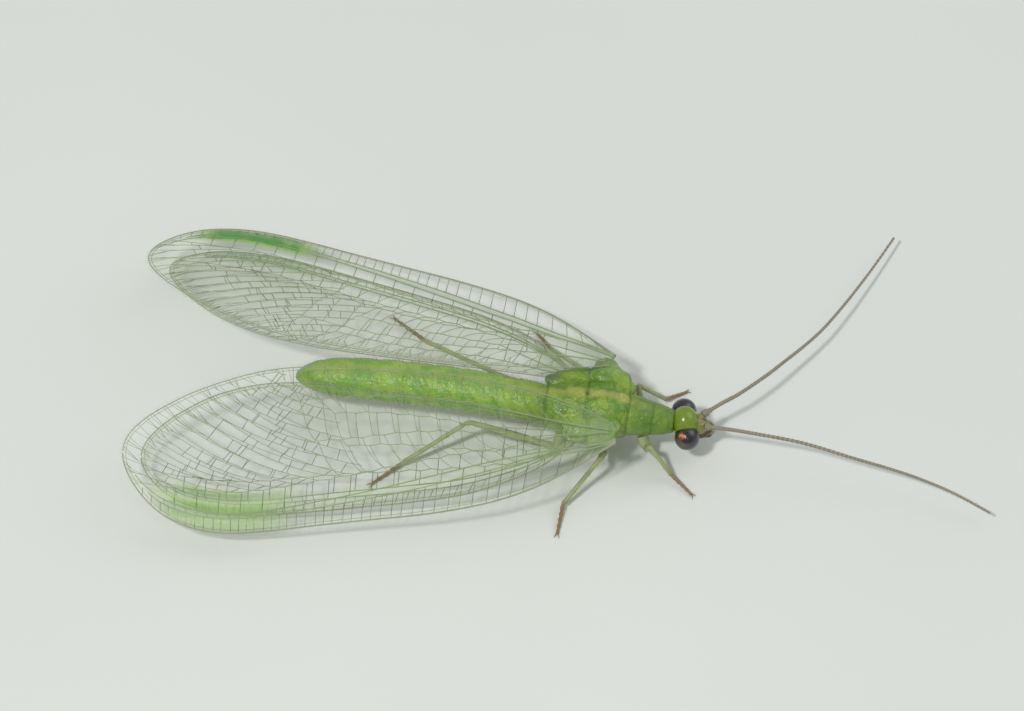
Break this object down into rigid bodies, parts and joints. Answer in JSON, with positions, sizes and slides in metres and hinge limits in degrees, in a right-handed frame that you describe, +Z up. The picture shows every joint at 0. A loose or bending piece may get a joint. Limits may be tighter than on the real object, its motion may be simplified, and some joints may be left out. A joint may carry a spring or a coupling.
{
  "type": "green lacewing",
  "caption": "Still life-size green lacewing standing with its long veined wings half spread in a low roof over the slim body.",
  "frame": {"origin": "on the floor plane, under the middle of the bounding box of the whole insect", "axes": "+X towards the insect's head and the longest extent, +Y to its left side, +Z up from the floor it stands on and the shortest extent"},
  "size_m": [0.0246, 0.013, 0.0029],
  "materials": {
    "head_shell": "shiny yellow-green shell",
    "eye": "glossy near-black eye with a coppery glint",
    "antenna": "tan-grey fine rings",
    "body_skin": "soft leaf-green skin with a pale stripe along the back",
    "wing_membrane": "clear membrane with green and dark veins",
    "leg": "greenish tan with brown feet"
  },
  "bodies": {
    "root": {"head": "head_shell", "eye_left": "eye", "eye_right": "eye", "antenna_left": "antenna", "antenna_right": "antenna", "prothorax": "body_skin", "mesothorax": "body_skin", "metathorax": "body_skin", "abdomen": "body_skin", "forewing_left": "wing_membrane", "forewing_right": "wing_membrane", "hindwing_left": "wing_membrane", "hindwing_right": "wing_membrane", "foreleg_left": "leg", "foreleg_right": "leg", "midleg_left": "leg", "midleg_right": "leg", "hindleg_left": "leg", "hindleg_right": "leg"}
  },
  "joints": []
}
